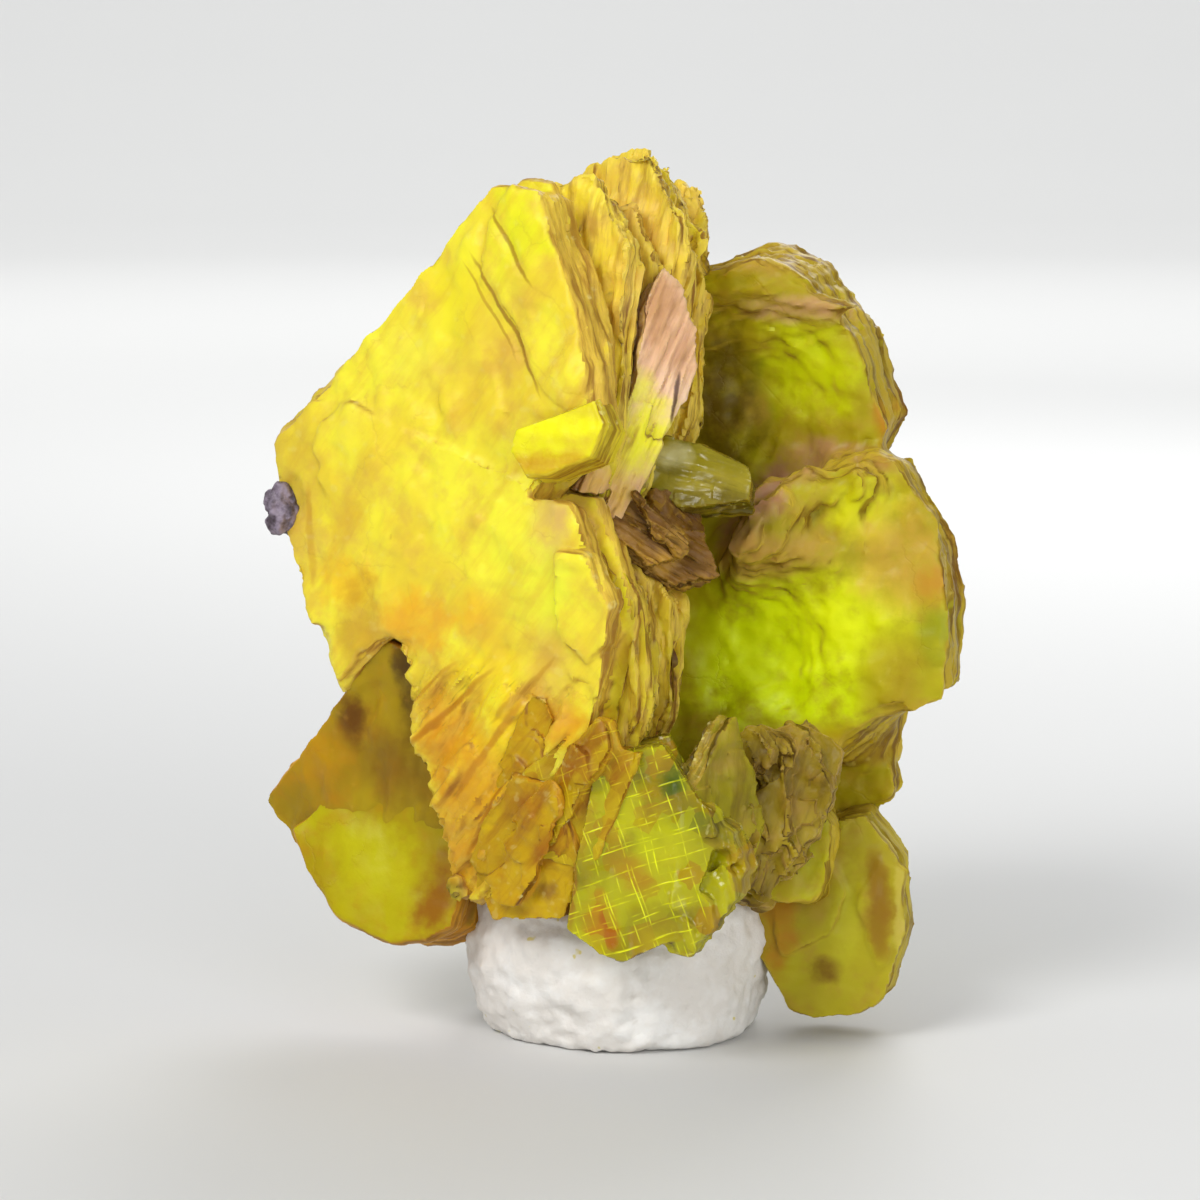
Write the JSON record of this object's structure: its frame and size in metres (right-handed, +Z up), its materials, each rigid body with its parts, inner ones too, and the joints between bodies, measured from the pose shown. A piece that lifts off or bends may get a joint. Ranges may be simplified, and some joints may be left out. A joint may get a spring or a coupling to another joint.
{
  "type": "uranocircite specimen",
  "caption": "Cluster of stacked yellow-green mica-like crystal tablets, standing on a kneaded lump of white mineral putty.",
  "frame": {"origin": "middle of the putty's flat foot", "axes": "+Z up, -Y towards the viewer of the specimen's best side, +X to that viewer's right"},
  "size_m": [0.012, 0.0078, 0.0147],
  "materials": {
    "crystal": "translucent lemon-yellow to lime cleavage faces, satin, with tan and orange-brown leaf edges",
    "putty": "matt white kneaded putty with small wrinkles"
  },
  "bodies": {
    "root": {"crystal_cluster": "crystal", "putty_base": "putty"}
  },
  "joints": []
}
